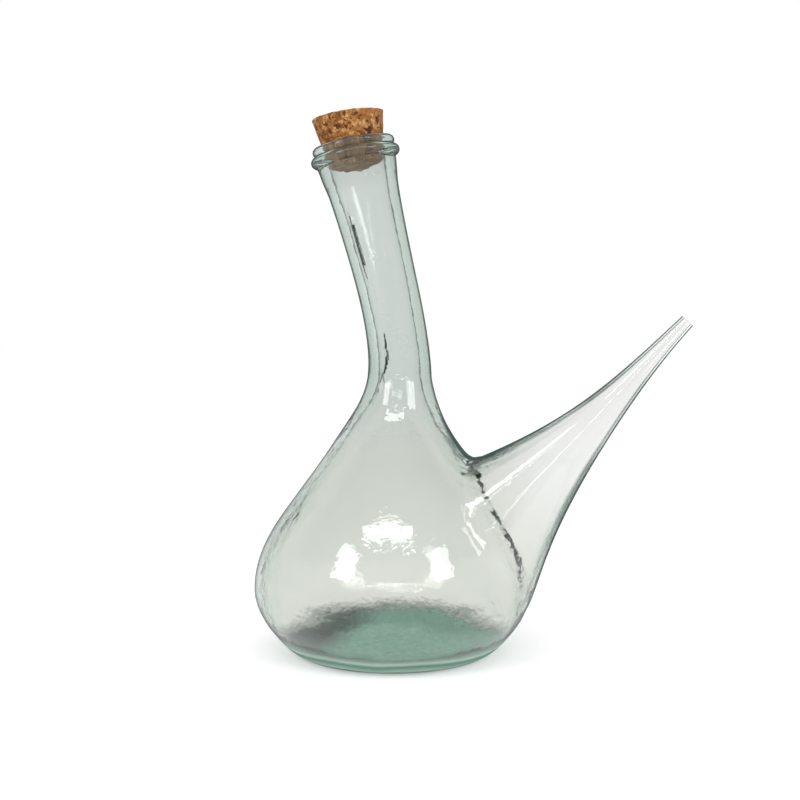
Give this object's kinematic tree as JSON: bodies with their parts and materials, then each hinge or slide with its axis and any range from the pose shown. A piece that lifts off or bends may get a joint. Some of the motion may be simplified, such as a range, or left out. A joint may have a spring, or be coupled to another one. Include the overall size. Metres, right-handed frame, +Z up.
{
  "type": "oil bottle",
  "caption": "Hand-blown green-tinted glass oil bottle with a round bulb, a crooked neck with a ringed lip, a long horn-shaped pouring spout and a tapered cork that pulls out.",
  "frame": {"origin": "the bulb's own axis at the level that the foot ring stands on", "axes": "+Z up along the bulb's axis, +X towards the spout, the neck bends back over -X and turns 20 degrees towards -Y"},
  "size_m": [0.1866, 0.121, 0.2349],
  "materials": {
    "glass_body": "clear blown glass with a grey-green tint, fire-polished",
    "glass_spout": "thin clear glass, nearly colourless",
    "glass_weld": "thick fused green glass",
    "cork": "pressed cork granules, matt"
  },
  "bodies": {
    "vessel": {"base": "glass_body", "belly": "glass_body", "shoulder": "glass_body", "neck": "glass_body", "lip_collar": "glass_body", "lip_rim": "glass_body", "spout_flare": "glass_spout", "spout_tube": "glass_spout", "spout_weld": "glass_weld"},
    "stopper": {"cork": "cork"}
  },
  "joints": [
    {"name": "cork_pull", "type": "slide", "parent": "vessel", "child": "stopper", "axis": [-0.1793, -0.0653, 0.9816], "range_m": [0, 0.03]}
  ]
}
